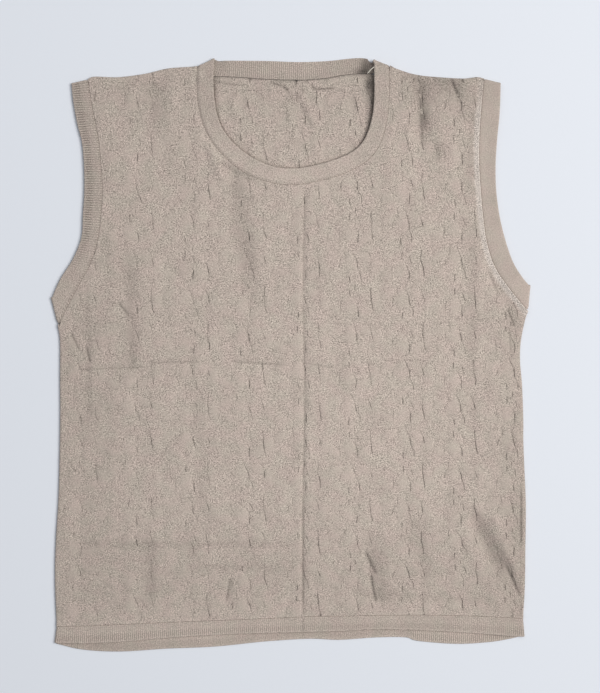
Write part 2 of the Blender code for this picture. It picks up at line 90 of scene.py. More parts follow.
# Its back half turns in under the front half at each shoulder, then runs straight across
BACK_NECK = [BandRow(*row) for row in (
    (-76, 296.4, -93, 288), (-75, 294.9, -89.5, 281.5), (-73.6, 293.8, -83, 278.6),
    (-70.6, 293.4, -75.5, 278), (-64, 293.8, -66, 278), (-48, 293.8, -48, 277),
    (-23, 293.5, -23, 275.3), (9, 292.5, 9, 274.5), (37, 293.5, 35, 276.3), (56, 295.6, 53, 279.5),
    (68.5, 296.5, 70, 281), (75.5, 295.9, 78.5, 280.8), (79.4, 294.7, 86, 279.8),
    (82.1, 293.9, 93.5, 281.5), (83, 294.5, 98.5, 288),
)]

# Folded edges, as (x, y): the shoulders from left to right, the sides from the underarm down
LEFT_SHOULDER = [(-202.5, 275), (-196, 277.8), (-172, 277.3), (-145, 280.8),
                 (-122, 286), (-93, 288)]
RIGHT_SHOULDER = [(98.5, 288), (109, 284.2), (122, 280.3), (139, 277.8),
                  (171, 275.8), (186, 277.3), (193, 275.5)]
LEFT_SIDE = [(-232.5, 29), (-230.5, 12), (-230.5, -25), (-230.3, -60), (-230.8, -97),
             (-232, -143), (-234.7, -187), (-235.5, -225), (-233.8, -271.3)]
RIGHT_SIDE = [(237, 43.5), (234, 34.5), (230, 14.5), (229, -5.5), (231, -30),
              (232.3, -65), (232.3, -85), (233.3, -112), (234.8, -150),
              (234.3, -195), (233.8, -232), (232, -263.3)]

# Hem from left to right: the front's rib seam, and the free edges of the front and back ribs
HemRow = namedtuple("HemRow", "seam_x seam_y free_x front_y back_y")
HEM = [HemRow(*row) for row in (
    (-233.8, -271.3, -236, -287.8, -288.3), (-208, -270.8, -208, -288.2, -294.5),
    (-171, -269.3, -171, -286.8, -296.5), (-125, -267.3, -125, -282.8, -293.7),
    (-75, -265.3, -75, -279.6, -291.5), (-26, -263.3, -26, -277.8, -286.5),
    (18, -261.3, 18, -276.8, -283.8), (49, -260.8, 49, -275.8, -284.8),
    (84, -260.3, 84, -274, -282.5), (114, -259.8, 114, -274.5, -282.3),
    (127, -259.8, 127, -274.9, -285.9), (164, -260.3, 164, -276.8, -288.8),
    (194, -261.3, 194, -278.8, -287.5), (215, -262.3, 215, -280.5, -284.6),
    (232, -263.3, 233.6, -281.5, -280.3),
)]

# Where the front stands up off the back, as soft swells
Swell = namedtuple("Swell", "x y reach_x reach_y rise")
SWELLS = [Swell(*row) for row in (
    (0, -50, 200, 230, 1.3), (93, 252, 24, 62, 4.6), (150, 262, 48, 36, 2.2),
    (-86, 278, 24, 34, 1.4), (0, 176, 90, 26, 0.8), (216, 70, 30, 38, 1.5),
    (196, -190, 40, 60, 1.8), (88, 268, 16, 42, 1.6), (91, 290, 12, 20, 1.5),
)]

# Folds and pressed creases that lift the front: a rise above 0 is a ridge, below 0 a trough
Fold = namedtuple("Fold", "x0 y0 x1 y1 width rise")
FOLDS = [Fold(*row) for row in (
    # Centre crease, and across the waist
    (14, 166, 12, -10, 3.6, -0.8), (12, 10, 12.5, -258, 3.6, -0.8), (-222, -13, 60, -8, 4, -0.5),
    # Right shoulder
    (128, 276, 131, 210, 6, -2), (147, 276, 150, 215, 7, 1.2), (164, 274, 168, 235, 5, -1.6),
    (113, 272, 118, 200, 7, 1),
    # Right underarm
    (196, 96, 216, 50, 7, -1.8), (217, 52, 224, 5, 6, -1.2),
    # Lower right
    (182, -160, 208, -212, 8, -1.8), (205, -160, 222, -215, 7, 1.2),
    (213, -205, 225, -248, 5, -1.4),
    # Tuck above the hem, and beside the neck
    (76, -195, 86, -248, 4.5, -1.2), (-84, 214, -68, 172, 6, 1.3), (-62, 186, -26, 166, 6, -0.9),
    # Lower left
    (-148, -215, -149, -256, 7, -0.9), (-62, -226, -65, -250, 4.5, -0.8),
)]

# Painted shade in soft patches, or painted light below 0: on all pieces, then only on the bands'
# upper side, then only on their lower half and the back's inside
PaintedPatch = namedtuple("PaintedPatch", "x y reach_x reach_y dark")
SHADE_PATCHES = [PaintedPatch(*row) for row in (
    (-205, 0, 50, 400, 0.07), (0, 285, 400, 50, 0.09), (150, 272, 42, 34, 0.15),
    (226, -190, 24, 110, 0.13), (226, 20, 20, 90, 0.07), (0, -225, 400, 40, 0.05),
    (70, -60, 150, 170, -0.06), (0, -282, 400, 13, -0.09), (12.5, -269, 1.2, 9, 0.25),
    (155, 272, 14, 7, 0.12), (133, 234, 5, 9, 0.12), (147, 205, 5, 9, 0.09),
    (-112, 195, 14, 26, 0.05),
)]
FRONT_JOIN_AND_SHADE = [PaintedPatch(*row) for row in (
    # The neckband's join, and light stitches at its other end
    (90.5, 288.6, 8, 0.7, 0.22), (-88.5, 282.2, 2.6, 0.5, -0.25),
    (-88.5, 279.8, 2.6, 0.5, -0.25), (-88.5, 277.4, 2.2, 0.5, -0.2),
    # Painted shade and painted light all along the bands
    (3, 178, 38, 9, -0.04), (-85, 245, 12, 45, 0.07), (-230, 235, 16, 60, -0.05),
    (201, 160, 10, 110, 0.08),
)]
BACK_SHADE_PATCHES = [PaintedPatch(*row) for row in (
    # Painted shadow in the neck's corners, along its seam and in the gap under the front half; the
    # last row takes painted shade off the back band
    (-70, 294.8, 7, 2.4, 0.35), (75.5, 290.5, 5.5, 6, 0.6), (72.5, 283, 5.5, 4, 0.45),
    (68, 283, 11, 2.6, 0.25), (77.5, 270, 3.4, 9, 0.55), (-74.5, 270, 3, 12, 0.15),
    (0, 286, 70, 9, -0.15),
)]

# Finer creases in the front's face
CREASES = [Fold(*row) for row in (
    # Centre crease
    (14, 165, 12.3, 55, 0.9, -0.5), (12.3, 60, 14.3, -45, 0.9, -0.5),
    (14.3, -40, 12.2, -145, 0.9, -0.55), (12.2, -140, 12.3, -259, 1, -0.8),
    (9.6, 160, 8.6, -250, 2.6, 0.35),
    # Across the waist
    (-216, -15, -141, -12, 1.6, -0.4), (-142, -8, -91, -7, 1.5, -0.45),
    (-61, -6.5, -1, -10.5, 1.6, -0.45), (14, -8, 43, -13, 1.5, -0.45),
    (117, -6, 134, -6.5, 1.4, -0.3),
    # Right shoulder
    (127.5, 281, 132, 209, 1.6, -0.7), (160.5, 275.5, 167.5, 256, 1.7, -0.95),
    (133, 242, 134, 224, 2.4, -0.65), (147.5, 208, 149, 196, 2.4, -0.3),
    # Right underarm
    (197, 85, 208, 58, 1.8, -0.5), (216.5, 46, 223.5, 28, 1.5, -0.8),
    (218, 28, 219.5, 2, 1.4, -0.5),
    # Left underarm
    (-172, 52, -161, 39, 1.4, -0.7), (-219, 22, -211, 5, 1.3, -0.75),
    (-204, 9, -200, -8, 1.3, -0.7),
    # Lower left, then lower right
    (-60, -223, -64.5, -247, 1.6, -0.6), (75, -196, 85.5, -219, 1.8, -0.9),
    (80, -221, 85.5, -247, 1.6, -0.9),
    (184, -160, 208, -209, 3.6, -0.8), (214.5, -209, 229, -240, 1.6, -0.8),
    # Side seam, turned to the front
    (229.6, -126, 229.9, -262, 0.9, -0.85),
    # Broad valley, lower right
    (178, -152, 213, -222, 6.5, -1.3), (196, -150, 226, -222, 6, 1),
    (165, -160, 198, -228, 7, 0.8),
    # Right shoulder
    (126, 278, 131, 212, 4.5, -0.9), (139, 274, 143, 215, 5, 0.8), (112, 270, 118, 205, 5, 0.7),
    # Below the neck, left
    (-72, 193, -32, 172.5, 4, -1.3), (-80, 206, -66, 172, 4, 0.8), (-56, 182, -41, 56, 8, -1.3),
    (-38, 182, -23, 56, 10, 0.9),
    # Left half
    (-203, 62, -202, -68, 4, -0.9), (-161, 108, -158, -18, 6, -1.2),
    (-136, 276, -136, 222, 8, -1.1), (-120, 270, -118, 200, 8, 0.7),
    (-92, -30, -90, -160, 5, -0.7),
    # Right half
    (179, 128, 181, -108, 5.5, -0.7), (181, 250, 176, 150, 4, -0.6), (147, 210, 146, 192, 5, -1.2),
    # Above the hem
    (-212, -190, 10, -190, 4, -0.8), (-102, -213, 0, -213, 4, -0.8),
    (-142, -180, -140, -245, 7, -1), (80, -172, 92, -250, 9, -1), (120, -165, 138, -225, 9, -1),
    (60, -238, 205, -246, 4, -0.7),
)]
THIN_CREASE, CREASE_DARK = 2.5, 0.7  # creases narrower than this get a dark line of painted shade
BROAD_DARK = 0.12  # and the others get this much broad painted shade
NECK_LINE = 0.9  # half the width of the shadow line under the neckband's free edge
# Tucks and ridges of the back's inside, seen through the neck
INNER_CREASES = [Fold(*row) for row in (
    (-76, 279.8, -64, 279.2, 1.3, -0.6), (-77.5, 273.4, -51, 269, 1.1, -0.6),
    (-20, 271.5, -7.8, 269, 1.3, -0.8), (-7.8, 269, -2.7, 263.8, 1.4, -0.9),
    (-2.7, 263.8, 1.8, 253.8, 1.1, -0.5), (20.3, 270.3, 23.3, 265.2, 1.3, -0.8),
    (23.3, 265.2, 44, 266.4, 1.3, -0.8), (9, 263, 23, 231, 3, 1.1), (23, 233, 24.5, 198, 3, 1),
    (4.5, 262, 18.5, 229, 3, -0.45), (-60, 262, -52, 226, 3.5, 0.6), (58, 258, 50, 214, 3, 0.5),
)]

# The flower repeat: columns of flowers, each half a repeat lower than its neighbour
COLUMN = 52  # from column to column
REPEAT = 76  # from flower to flower down a column
FIRST_COLUMN, FIRST_FLOWER = 7, 146  # x and y of one flower
LEFT_SPREAD = 56 / 52  # the columns left of it lie wider apart
TOP_RATE, HEM_RATE = 76 / 77.5, 2.9e-4  # the rows draw closer towards the hem
COLUMNS, ROWS = range(-5, 6), range(-2, 7)
BLISTER = 0.6  # height of the raised flowers
WANDER = 0.8  # how far the columns and rows stray

# A quarter of one repeat, right of and below a flower's centre. Mirrored twice it makes the
# flower, the leaves beside it and the small cross halfway to the next flower.
Raised = namedtuple("Raised", "across down turn length width taper rise")
QUARTER = [Raised(*row) for row in (
    # Drop
    (0, 13.5, 90, 22, 12.5, 0.45, 1),
    # Leaf to the side
    (14.8, 9.8, 33, 20, 9.5, 0.2, 0.85), (15, 0, 0, 19, 4.6, 0.1, 0.55),
    # Leaf between the columns
    (26, 19, 90, 22, 10.5, 0, 0.8), (12, 28, -52, 15, 7, 0, 0.55),
    # Cross
    (3.4, 34.6, -45, 9, 3.4, 0, 0.7),
)]
# Slots round the raised shapes of one whole repeat; those left of the flower are shallower
Slot = namedtuple("Slot", "across0 down0 across1 down1 depth")
SLOTS = [Slot(*row) for row in (
    # Right of the lower drop, and on down
    (2.4, 1, 4.6, 7, 0.45), (4.6, 7, 6.8, 13, 0.6), (6.8, 13, 7.6, 20.5, 1.1),
    (7.6, 20.5, 10.4, 26.5, 0.55), (10.4, 26.5, 11.2, 34, 0.7),
    # Right of the upper drop
    (7.6, -4.5, 7.7, -14, 1), (7.7, -14, 5.4, -20, 0.5), (5.4, -20, 3.4, -24, 0.35),
    (10.2, -21, 8.4, -29, 0.6),
    # Above and below the cross
    (0, -33, 0.1, -26, 0.9), (-0.2, 28.5, 0, 36, 0.9), (5.2, -38, 5.4, -32.5, 0.7),
    # Beside the leaves
    (20.4, -36, 20.2, -25, 0.7), (20.2, -25, 21.6, -16, 0.8), (21.6, -16, 22.6, -8, 1),
    (18.4, 4.5, 20.6, 11.5, 0.5), (20.6, 11.5, 22.2, 19, 0.9), (-9.6, -20, -9.4, -6, 0.45),
    (-5.2, 1, -4.8, 9, 0.5), (-4.8, 9, -8.6, 13, 0.3), (-8.6, 13, -9.6, 20, 0.6),
    (-20.6, -14, -22, -5, 0.35), (-20, 8, -21.6, 17, 0.35), (0.5, -2.3, 7, -2.5, 0.4),
    (8, 2.4, 19, 3.4, 0.3), (-18, 2.6, -7, 1.4, 0.3),
)]
SLOT_WIDTH = 0.42
SLOT_DIP = 0.12  # depth of the slots' groove
INNER_SLOTS = 1.15  # painted shade of the slots on the back's inside
LINE_WANDER = 0.45  # how far the slots' lines waver

# Rib bands: ribs run across the band. Their depth on the front and on the back half, the free
# edge's bead, how far the seam edge is drawn down, how dark the painted shade in the stitch holes
# and along the edges is, and how smooth the yarn shows
Knit = namedtuple("Knit", "pitch front back bead tuck holes smooth")
LEFT_RIB = Knit(2.4, 0.27, 0.30, 0.1, 0.5, 0.7, 0.4)
RIGHT_RIB = Knit(2.4, 0.05, 0.12, 0.1, 0.2, 0, 1)
NECK_RIB = Knit(2, 0.04, 0.17, 0.32, 0.3, 0.4, 0.4)
HEM_RIB = Knit(2, 0.20, 0.20, 0.1, 0, 0.35, 0.5)
FULL_DARK = 0.3  # depth of rib whose groove is painted as dark as a slot, as painted shade
RIB_STEPS = 6  # sections to one rib
SEAM_GAP = 0.1  # between the fine pieces

# Spacing of the points
TOP_STEP, SLOT_STEP, SLOT_FLANK, LEAST_STEP = 2.15, 1.8, 0.6, 0.42
EDGE_STEP, UNDER_STEP, REST_STEP = 2.2, 9, 4
CURVE_STEPS = 48  # to each row of a table
SOFT_EDGE = 5  # the relief fades towards the edges over this width
BAND_STEP, FOLD_STEPS, FOLD_CLEAR = 2, 10, 1.5

# Size of one stitch, how much the yarn varies finely and from leg to leg, how dark the painted
# shade in a slot is, and the strength of the bump
Look = namedtuple("Look", "wide high speckle legs slot_dark bump")
PANEL_LOOK = Look(2, 1.15, 2.35, 0.4, 0.88, 0.12)
RIB_LOOK = Look(1.9, 1.05, 2.2, 0.36, 0.62, 0.08)
GRAIN = 0.95  # grains of the yarn's variation in a millimetre
BUMP = 0.25  # how far a stitch stands up in the bump

# Colours of the yarn, of its painted highlight and of the floor, linear
YARN_WARM = (0.522, 0.432, 0.382, 1)
YARN_COOL = (0.504, 0.438, 0.378, 1)
HIGHLIGHT_YARN = (0.516, 0.455, 0.410, 1)
TAIL_YARN = (0.85, 0.80, 0.70)
FLOOR = (0.818, 0.850, 0.912, 1)
FLOOR_HALF, FLOOR_DROP = 20000, 0.05

# Camera straight above, over the middle of the photograph
PHOTO_MIDDLE = (9.25, 8.25)
PHOTO_HEIGHT = 693
CAMERA_HEIGHT = 1500
SENSOR = 36

# One edge of a panel: cut edges roll up this far where a band is sewn on
Edge = namedtuple("Edge", "points folded roll")
RIGHT_ROLL, NECK_ROLL = 0.6, -0.35
HIGHLIGHT_WIDTH = 6.6  # painted highlight this far in from the right armhole's seam


def unit(vectors):
    return vectors / np.linalg.norm(vectors, axis=-1, keepdims=True)


def smooth(rows):
    """A Catmull-Rom curve through a table's rows, with all their columns."""
    rows = np.array(rows, float)
    rows = np.vstack([2 * rows[0] - rows[1], rows, 2 * rows[-1] - rows[-2]])
    t = np.linspace(0, 1, CURVE_STEPS, endpoint=False)[:, None]
    spans = [
        b + 0.5 * t * (c - a + t * (2 * a - 5 * b + 4 * c - d + t * (3 * b - a - 3 * c + d)))
        for a, b, c, d in zip(rows, rows[1:], rows[2:], rows[3:])
    ]
    return np.vstack([*spans, rows[-2]])


def lengths_along(points):
    return np.concatenate([[0], np.cumsum(np.linalg.norm(np.diff(points, axis=0), axis=1))])


def at_lengths(wanted, along, curve):
    return np.column_stack([np.interp(wanted, along, values) for values in curve.T])


def spaced(curve, step, by=slice(0, 2)):
    """The curve at even steps of about this size, measured in some of its columns."""
    along = lengths_along(curve[:, by])
    wanted = np.linspace(0, along[-1], max(2, round(along[-1] / step)) + 1)
    return at_lengths(wanted, along, curve)


def seam_line(rows):
    return spaced(smooth(rows), EDGE_STEP, SEAM)[:, SEAM]


def hem_line(x_name, y_name, offset=0):
    points = [(getattr(row, x_name), getattr(row, y_name) + offset) for row in HEM]
    return spaced(smooth(points), EDGE_STEP)


def softly(share):
    """From 0 to 1 with no corner at either end."""
    share = np.clip(share, 0, 1)
    return share * share * (3 - 2 * share)


def ripple(xy, wavelength, seed):
    """A smooth uneven wave over the plane, mostly between -1 and 1."""
    random = np.random.default_rng(seed)
    total = np.zeros(len(xy))
    for _ in range(9):
        turn, phase = random.uniform(0, 2 * math.pi, 2)
        rate = 2 * math.pi / (wavelength * random.uniform(0.7, 1.5))
        total += np.sin(rate * (xy[:, 0] * math.cos(turn) + xy[:, 1] * math.sin(turn)) + phase)
    return total / 3


def distance_to(ends, xy):
    """How far points lie from a straight line piece, and how far along it, as a share."""
    start = np.array(ends[:2], float)
    way = np.array(ends[2:4]) - start
    along = ((xy - start) @ way) / (way @ way)
    foot = start + np.clip(along, 0, 1)[:, None] * way
    return np.linalg.norm(xy - foot, axis=1), along


def fold_height(fold, xy):
    """Height that one fold adds: a soft bump across its line, which fades at both ends."""
    across, along = distance_to(fold, xy)
    fade = np.clip(np.minimum(along, 1 - along) * 5 + 0.4, 0, 1)
    return fold.rise * fade * np.exp(-((across / fold.width) ** 2))


def patches(table, xy):
    """The sum of soft round patches, such as swells or patches of painted shade."""
    total = np.zeros(len(xy))
    for patch in table:
        away = ((xy - patch[:2]) / patch[2:4]) ** 2
        total += patch[4] * np.exp(-away.sum(axis=1))
    return total


def lift(xy):
    """Height of the front's underside above the surface, never less than one layer."""
    raised = patches(SWELLS, xy)
    for fold in FOLDS:
        raised += fold_height(fold, xy)
    return LAYER + 0.5 * (raised + np.sqrt(raised**2 + 0.04))


def stray(xy):
    """How far the knit has shifted from an even repeat."""
    slow = WANDER * np.column_stack([ripple(xy, 95, 1), ripple(xy, 120, 2)])
    return slow + LINE_WANDER * np.column_stack([ripple(xy, 17, 13), ripple(xy, 21, 14)])


def in_knit(xy):
    """Across and down the flat knit, for points of the laid cloth."""
    moved = xy + stray(xy)
    across = moved[:, 0] - FIRST_COLUMN
    across = np.where(across < 0, across / LEFT_SPREAD, across)
    fall = FIRST_FLOWER - moved[:, 1]
    return np.column_stack([across, HEM_RATE * fall**2 + TOP_RATE * fall])


def on_cloth(knit):
    """Where points of the flat knit lie on the laid cloth: the reverse of in_knit."""
    across, down = knit.T
    x = FIRST_COLUMN + np.where(across < 0, across * LEFT_SPREAD, across)
    fall = (np.sqrt(TOP_RATE**2 + 4 * HEM_RATE * down) - TOP_RATE) / (2 * HEM_RATE)
    even = np.column_stack([x, FIRST_FLOWER - fall])
    return even - stray(even - stray(even))


def in_repeat(knit):
    """Across and down from the nearest flower's centre."""
    column = np.round(knit[:, 0] / COLUMN)
    down = knit[:, 1] - 0.5 * (column % 2) * REPEAT
    return np.column_stack([knit[:, 0] - column * COLUMN, down - np.round(down / REPEAT) * REPEAT])


def whole_flower():
    """All raised shapes of one repeat, from its quarter."""
    return [
        shape._replace(across=side * shape.across, down=end * shape.down,
                       turn=end * shape.turn if side > 0 else 180 - end * shape.turn)
        for side in (-1, 1) for end in (-1, 1) for shape in QUARTER
    ]


def raised_share(flower, raised):
    """Height of the raised shapes at points given from a flower's centre, from 0 to about 1."""
    height = np.zeros(len(flower))
    for shape in raised:
        turn = math.radians(shape.turn)
        across, down = (flower - (shape.across, shape.down)).T
        beside = (down * math.cos(turn) - across * math.sin(turn)) / shape.width * 2
        ahead = (across * math.cos(turn) + down * math.sin(turn)) / shape.length * 2
        beside /= 1 + shape.taper * np.clip(ahead, -1, 1)
        room = 1 - np.abs(ahead) ** 1.7 - beside**2
        height = np.maximum(height, shape.rise * np.clip(room, 0, 1) ** 0.6)
    return height


def slot_depth(flower):
    """Depth of the slots between the raised shapes, from 0 to about 1."""
    depth = np.zeros(len(flower))
    for slot in SLOTS:
        away, _ = distance_to(slot, flower)
        depth = np.maximum(depth, slot.depth * np.exp(-((away / SLOT_WIDTH) ** 2)))
    return depth


class Relief:
    """Height of the flowers and depth of the slots, over a set of points."""

    def __init__(self, xy):
        self.knit = in_knit(xy)
        flower = in_repeat(self.knit)
        vigour = 1 + 0.28 * ripple(xy, 60, 3)
        self.raised = raised_share(flower, whole_flower()) * np.clip(vigour, 0.45, 1.5)
        deep = np.clip(0.82 + xy[:, 0] / 600 + 0.35 * ripple(xy, 13, 4), 0.15, 1.3)
        self.sunk = np.minimum(slot_depth(flower) * deep, 1)


def crease_relief(creases, xy):
    """Height that creases add, the painted shade of the thin ones, and how much painted shade the
    broad ones get.
    """
    height, dark, shade = np.zeros((3, len(xy)))
    for crease in creases:
        added = fold_height(crease, xy)
        height += added
        if crease.width < THIN_CREASE:
            dark = np.maximum(dark, -CREASE_DARK * added)
        else:
            shade += BROAD_DARK * np.maximum(-added, 0)
    return height, dark, shade


def beside(line, flank):
    """The points of a line, and as many points on either side of it."""
    tangent = unit(np.gradient(line, axis=0))
    side = flank * np.column_stack([-tangent[:, 1], tangent[:, 0]])
    return np.vstack([line, line + side, line - side])


def straight(piece, flank):
    """Points along a slot or a crease, a little past its ends, and on both its flanks."""
    start, end = np.array(piece[:2]), np.array(piece[2:4])
    past = flank * unit(end - start)
    start, end = start - past, end + past
    steps = max(2, round(math.dist(start, end) / SLOT_STEP))
    return beside(start + np.linspace(0, 1, steps + 1)[:, None] * (end - start), flank)


def slot_points():
    """Points along every slot of the whole knit."""
    points = np.vstack([straight(slot, SLOT_FLANK) for slot in SLOTS])
    places = [(k * COLUMN, (n + 0.5 * (k % 2)) * REPEAT) for k in COLUMNS for n in ROWS]
    return on_cloth(np.vstack([points + place for place in places]))


def crease_points(creases):
    return np.vstack([straight(crease, crease.width) for crease in creases])


def depth_inside(loop, xy):
    """How far points lie inside a loop; below 0 they are outside it."""
    crossings = np.zeros(len(xy), int)
    nearest = np.full(len(xy), np.inf)
    for p, q in zip(loop, np.roll(loop, -1, axis=0)):
        spans = (p[1] > xy[:, 1]) != (q[1] > xy[:, 1])
        slope = (q[0] - p[0]) / (q[1] - p[1]) if q[1] != p[1] else 0
        crossings += spans & (xy[:, 0] < p[0] + (xy[:, 1] - p[1]) * slope)
        along = np.clip(((xy - p) @ (q - p)) / ((q - p) @ (q - p)), 0, 1)
        away = xy - p - along[:, None] * (q - p)
        nearest = np.minimum(nearest, (away * away).sum(axis=1))
    return np.where(crossings % 2 == 1, 1, -1) * np.sqrt(nearest)


def thinned(points, least):
    """The points in their order, without those nearer than least to an earlier one."""
    cells, kept = {}, []
    for point in points.tolist():
        i, j = int(point[0] // least), int(point[1] // least)
        near = [p for a in (-1, 0, 1) for b in (-1, 0, 1) for p in cells.get((i + a, j + b), [])]
        if all(math.dist(p, point) >= least for p in near):
            cells.setdefault((i, j), []).append(point)
            kept.append(point)
    return np.array(kept)


def lattice(loop, step):
    """Rows of points over the loop's box, every other row shifted by half a step."""
    low, high = loop.min(axis=0), loop.max(axis=0)
    rows = np.arange(low[1], high[1], step * math.sqrt(0.75))
    points = [
        np.column_stack([xs, np.full(len(xs), y)])
        for k, y in enumerate(rows)
        for xs in [np.arange(low[0] + (k % 2) * step / 2, high[0], step)]
    ]
    return np.vstack(points)


def distance_from(others, points):
    """How far each point lies from the nearest of the others."""
    tree = kdtree.KDTree(len(others))
    for k, other in enumerate(others):
        tree.insert((other[0], other[1], 0), k)
    tree.balance()
    return np.array([tree.find((x, y, 0))[2] for x, y in points])


def away_from(points, others, least):
    """The points that have none of the others nearer than least."""
    return points[distance_from(others, points) >= least]


class Outline:
    """A closed loop of folded and cut edges, walked counter-clockwise.

    Every point has a way in. A corner slides along the cut edge beside it, so that the seam stays
    where it is. turned is 1 where the cloth folds and 0 where it is cut.
    """

    def __init__(self, edges):
        places, ways, turned, rolls = [], [], [], []
        for k, edge in enumerate(edges):
            tangent = unit(np.gradient(edge.points, axis=0))
            inward = np.column_stack([-tangent[:, 1], tangent[:, 0]])
            along = lengths_along(edge.points)
            from_end = np.minimum(along, along[-1] - along)
            if edge.folded:
                keep = from_end >= 0
                before, after = edges[k - 1].points, edges[(k + 1) % len(edges)].points
                for end, way in ((0, before[-2] - before[-1]), (-1, after[1] - after[0])):
                    way = unit(way)
                    inward[end] = way / (way @ inward[end])
            else:
                keep = from_end > 1.6 * EDGE_STEP
            places.append(edge.points[keep])
            ways.append(inward[keep])
            turned.append((softly(from_end / 7) if edge.folded else 0 * along)[keep])
            rolls.append(np.full(keep.sum(), edge.roll))
        self.xy, self.inward = np.vstack(places), np.vstack(ways)
        self.turned, self.roll = np.concatenate(turned), np.concatenate(rolls)

    def ring(self, inset, height):
        return np.column_stack([self.xy + inset[:, None] * self.inward, height])


def front_rings(outline, thickness):
    """Rings of the front: over the fold and down to the surface, or down a cut edge."""
    under = lift(outline.xy)
    top = under + thickness
    turned = [
        (0.62 * top, top),
        (0.36 * top, 0.955 * top),
        (0.16 * top, 0.85 * top),
        (0.045 * top, 0.70 * top),
        (0, 0.5 * top),
        (0.05 * top, 0.16 * top),
        (0.12 * top, 0),
        (FOLD_WALL, 0),
        (1 + 0.17 * top, under),
    ]
    roll, drop = outline.roll, np.where(outline.roll > 0, 1, 0.3)
    cut = [
        (2, top + 0.45 * roll),
        (1.35, top + roll),
        (0.75, top + 0.8 * roll),
        (0.25, top + 0.15 * roll - 0.25 * drop),
        (0, under + 1.1 - 0.4 * drop),
        (0.03, under + 0.40),
        (0.10, under + 0.20),
        (0.25, under + 0.05),
        (0.45, under),
    ]
    share = outline.turned
    return [
        outline.ring(share * a[0] + (1 - share) * b[0], share * a[1] + (1 - share) * b[1])
        for a, b in zip(turned, cut)
    ]


def back_rings(outline, thickness):
    """Rings of the back, which lies on the surface just inside the front's fold."""
    edge = np.where(outline.turned > 0, BACK_INSET, 0)
    profile = [(0.8, 1), (0.4, 0.93), (0.1, 0.72), (0, 0.4), (0.1, 0.12), (0.4, 0)]
    return [
        outline.ring(edge + inset, np.full(len(edge), share * thickness))
        for inset, share in profile
    ]


def triangles(loop, inner):
    """Triangles over a loop and the points inside it, facing up."""
    count = len(loop)
    points = [Vector(p[:2]) for p in (*loop, *inner)]
    sides = [(k, (k + 1) % count) for k in range(count)]
    _, _, faces, origins, _, _ = delaunay_2d_cdt(points, sides, [], 1, 1e-6)
    return [tuple(origins[i][0] for i in face) for face in faces]


def give(mesh, **values):
    """Stores numbers or vectors on the points of a mesh, for its material to read."""
    for name, numbers in values.items():
        numbers = np.asarray(numbers, np.float32)
        kind, field = ("FLOAT", "value") if numbers.ndim == 1 else ("FLOAT_VECTOR", "vector")
        mesh.attributes.new(name, kind, "POINT").data.foreach_set(field, numbers.ravel())


def placed(name, data):
    obj = bpy.data.objects.new(name, data)
    bpy.context.scene.collection.objects.link(obj)
    return obj


def mesh_object(name, points, faces, material):
    mesh = bpy.data.meshes.new(name)
    mesh.from_pydata((np.asarray(points) * MM).tolist(), [], faces)
    mesh.materials.append(material)
    return placed(name, mesh)


def make_object(name, points, faces, material):
    obj = mesh_object(name, points, faces, material)
    obj.data.shade_smooth()
    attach(obj, "root")
    return obj


def tube_faces(sections, around, closed=False):
    """Faces along a tube of sections, each with as many points round it."""
    faces = []
    for n in range(sections if closed else sections - 1):
        first, after = n * around, (n + 1) % sections * around
        for j in range(around):
            k = (j + 1) % around
            faces.append((first + j, first + k, after + k, after + j))
    return faces


def end_faces(sections, around):
    last = (sections - 1) * around
    return [tuple(range(around))[::-1], tuple(range(last, last + around))]


def make_panel(name, outline, rings, top, under, material, shading):
    """A closed wall of cloth, with the flat knit's coordinates and relief stored on its points."""
    count = len(rings[0])
    points = np.vstack(rings)
    # The knit runs on round the edge
    gone = np.zeros(count)
    around = [rings[0][:, :2]]
    outward = unit(rings[4][:, :2] - rings[0][:, :2])
    for above, below in zip(rings, rings[1:]):
        gone = gone + np.linalg.norm(below - above, axis=1)
        around.append(rings[0][:, :2] + gone[:, None] * outward)
    faces = [(face[0], *face[:0:-1]) for face in tube_faces(len(rings), count)]
    last = count * (len(rings) - 1)
    for start, ring, inner in ((0, rings[0], top), (last, rings[-1], under)):
        shift = len(points) - count
        points = np.vstack([points, inner])
        around.append(inner[:, :2])
        for face in triangles(ring, inner):
            ids = [i + start if i < count else i + shift for i in face]
            faces.append(ids if start == 0 else ids[::-1])
    obj = make_object(name, points, faces, material)
    around = np.vstack(around)
    relief = Relief(around)
    # Painted shade and a painted highlight, for the material to read
    sunk, shade, lit = shading(around, relief)
    give(obj.data, knit=np.column_stack([relief.knit, np.zeros(len(points))]),
         raised=relief.raised, sunk=sunk, shade=shade, lit=lit)
    return obj


def edges_of(neck, joint):
    """Edges of a body panel, counter-clockwise from its lower left corner."""
    def folded(points, way):
        return Edge(spaced(smooth(points), EDGE_STEP)[::way], True, 0)

    return [
        Edge(joint, False, 0),
        folded(RIGHT_SIDE, -1),
        Edge(seam_line(RIGHT_ARMHOLE)[::-1], False, RIGHT_ROLL),
        folded(RIGHT_SHOULDER, -1),
        Edge(seam_line(neck)[::-1], False, NECK_ROLL),
        folded(LEFT_SHOULDER, -1),
        Edge(seam_line(LEFT_ARMHOLE), False, 0),
        folded(LEFT_SIDE, 1),
    ]


def plain_points(loop, step):
    """An uneven lattice inside a loop."""
    points = lattice(loop, step)
    points = points + 0.12 * np.column_stack([ripple(points, 5, 11), ripple(points, 5, 12)])
    return points[depth_inside(loop[::4], points) > 0.75 * step]


def face_points(loop, lines, step):
    """Points inside a loop: those on fine lines, and a lattice between them."""
    lines = thinned(lines[depth_inside(loop[::4], lines) > 2], LEAST_STEP)
    return np.vstack([lines, away_from(plain_points(loop, step), lines, 0.62 * step)])


def billow(xy):
    """Soft unevenness of knit that was laid out by hand, drawn out along the wales."""
    stretched = xy * (1, 0.45)
    return 0.30 * ripple(stretched, 24, 5) + 0.30 * ripple(xy, 70, 6)


def area_of(loop):
    x, y = loop[:, 0], loop[:, 1]
    return abs(x @ np.roll(y, -1) - y @ np.roll(x, -1)) / 2 * MM * MM


